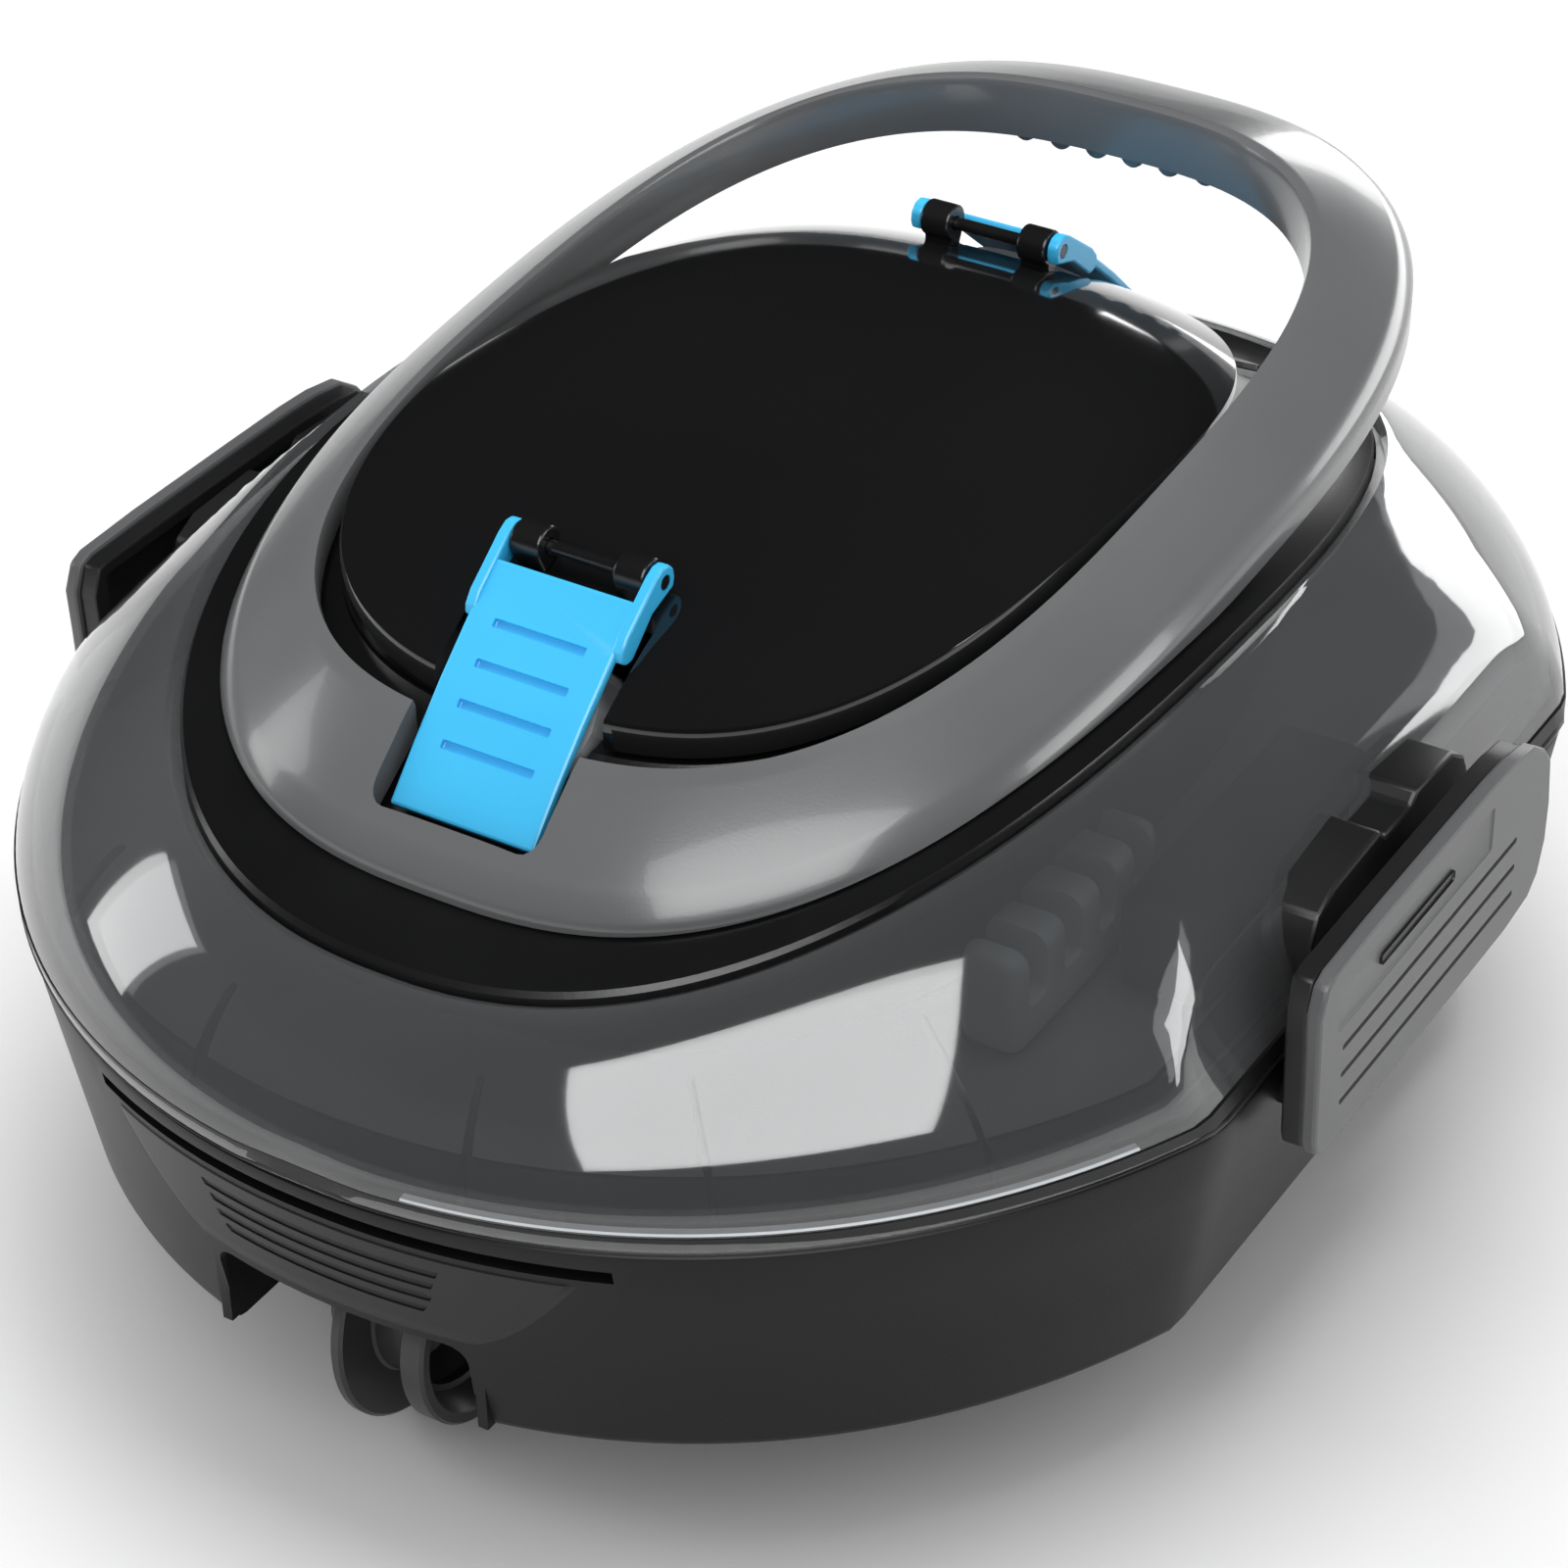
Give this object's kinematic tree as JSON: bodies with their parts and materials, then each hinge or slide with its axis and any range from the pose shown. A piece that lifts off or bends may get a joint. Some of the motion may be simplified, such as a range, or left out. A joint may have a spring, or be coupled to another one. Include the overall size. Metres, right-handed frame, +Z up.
{
  "type": "robotic pool cleaner",
  "caption": "Low oval cordless robotic pool cleaner with a smoke-clear cover, black dome, grey carrying hoop, blue jet flaps, side latches, wheels and end rollers.",
  "frame": {"origin": "on the ground, under the middle of the body", "axes": "+Z up, -Y towards the end whose flap lies in the handle's notch, +X to the right latch"},
  "size_m": [0.328, 0.39, 0.1911],
  "materials": {
    "satin_black": "satin moulded",
    "gloss_black": "high gloss",
    "grey_shell": "semi-gloss",
    "latch_grey": "satin moulded",
    "sky_blue": "semi-gloss",
    "smoked_clear": "clear smoke-tinted polycarbonate",
    "frosted": "translucent natural",
    "rubber": "soft",
    "steel": "turned stainless",
    "board_green": "coated laminate",
    "cell_wrap": "heat-shrink wrap",
    "mesh_grey": "fine woven polyester screen"
  },
  "bodies": {
    "base": {"base_shell": "satin_black", "front_bumper": "satin_black", "rear_bumper": "satin_black", "base_gasket": "rubber", "bottom_plate": "satin_black", "plate_screw_1": "steel", "plate_screw_2": "steel", "plate_screw_3": "steel", "plate_screw_4": "steel", "front_inlet_pin": "steel", "rear_inlet_pin": "steel", "filter_frame": "latch_grey", "filter_screen": "mesh_grey", "right_axle": "steel", "left_axle": "steel", "front_axle": "steel", "rear_axle": "steel", "right_latch_pin": "steel", "left_latch_pin": "steel"},
    "top_unit": {"clear_cover": "smoked_clear", "deck_plate": "satin_black", "bezel_ring": "satin_black", "dome_lid": "gloss_black", "front_left_hook": "satin_black", "rear_right_hook": "satin_black", "front_right_hook": "satin_black", "rear_left_hook": "satin_black", "front_flap_pin": "steel", "rear_flap_pin": "steel", "front_duct": "frosted", "rear_duct": "frosted", "front_motor": "steel", "rear_motor": "steel", "motor_housing": "satin_black", "battery_pack": "cell_wrap", "control_board": "board_green", "button_seal": "rubber", "status_lens": "frosted", "charge_port": "latch_grey", "handle": "grey_shell"},
    "front_inlet_flap": {"front_inlet_flap": "frosted"},
    "rear_inlet_flap": {"rear_inlet_flap": "frosted"},
    "right_wheel": {"right_wheel": "satin_black", "right_tyre": "rubber"},
    "left_wheel": {"left_wheel": "satin_black", "left_tyre": "rubber"},
    "front_roller": {"front_roller": "latch_grey"},
    "rear_roller": {"rear_roller": "latch_grey"},
    "right_latch": {"right_latch": "latch_grey"},
    "left_latch": {"left_latch": "latch_grey"},
    "front_flap": {"front_flap": "sky_blue"},
    "rear_flap": {"rear_flap": "sky_blue"},
    "front_propeller": {"front_propeller": "latch_grey"},
    "rear_propeller": {"rear_propeller": "latch_grey"},
    "power_button": {"power_button": "grey_shell"},
    "charge_plug": {"charge_plug": "rubber"}
  },
  "joints": [
    {"name": "upper_unit_lift", "type": "slide", "parent": "base", "child": "top_unit", "axis": [0, 0, 1], "range_m": [0, 0.16]},
    {"name": "right_latch_hinge", "type": "hinge", "parent": "base", "child": "right_latch", "pos_m": [0.1584, -0.006, 0.0805], "axis": [0, 1, 0], "range_deg": [0, 60]},
    {"name": "left_latch_hinge", "type": "hinge", "parent": "base", "child": "left_latch", "pos_m": [-0.1584, -0.006, 0.0805], "axis": [0, -1, 0], "range_deg": [0, 60]},
    {"name": "front_flap_hinge", "type": "hinge", "parent": "top_unit", "child": "front_flap", "pos_m": [0, -0.0845, 0.1819], "axis": [-1, 0, 0], "range_deg": [0, 50]},
    {"name": "rear_flap_hinge", "type": "hinge", "parent": "top_unit", "child": "rear_flap", "pos_m": [0, 0.0845, 0.1819], "axis": [1, 0, 0], "range_deg": [0, 28]},
    {"name": "front_propeller_spin", "type": "hinge", "parent": "top_unit", "child": "front_propeller", "pos_m": [0, -0.11028, 0.15896], "axis": [0, -0.6713, 0.7412], "continuous": true},
    {"name": "rear_propeller_spin", "type": "hinge", "parent": "top_unit", "child": "rear_propeller", "pos_m": [0, 0.11028, 0.15896], "axis": [0, 0.6713, 0.7412], "continuous": true},
    {"name": "front_roller_spin", "type": "hinge", "parent": "base", "child": "front_roller", "pos_m": [0, -0.15, 0.031], "axis": [1, 0, 0], "continuous": true},
    {"name": "rear_roller_spin", "type": "hinge", "parent": "base", "child": "rear_roller", "pos_m": [0, 0.15, 0.031], "axis": [1, 0, 0], "continuous": true},
    {"name": "right_wheel_spin", "type": "hinge", "parent": "base", "child": "right_wheel", "pos_m": [0.096, 0, 0.032], "axis": [1, 0, 0], "continuous": true},
    {"name": "left_wheel_spin", "type": "hinge", "parent": "base", "child": "left_wheel", "pos_m": [-0.096, 0, 0.032], "axis": [1, 0, 0], "continuous": true},
    {"name": "front_inlet_hinge", "type": "hinge", "parent": "base", "child": "front_inlet_flap", "pos_m": [0, -0.053, 0.04], "axis": [-1, 0, 0], "range_deg": [0, 60]},
    {"name": "rear_inlet_hinge", "type": "hinge", "parent": "base", "child": "rear_inlet_flap", "pos_m": [0, 0.053, 0.04], "axis": [1, 0, 0], "range_deg": [0, 60]},
    {"name": "power_button_press", "type": "slide", "parent": "top_unit", "child": "power_button", "axis": [0, -0.4794, -0.8776], "range_m": [0, 0.0012], "stiffness_N_per_m": 500},
    {"name": "charge_plug_pull", "type": "slide", "parent": "top_unit", "child": "charge_plug", "axis": [0, 0.4794, 0.8776], "range_m": [0, 0.012]}
  ]
}
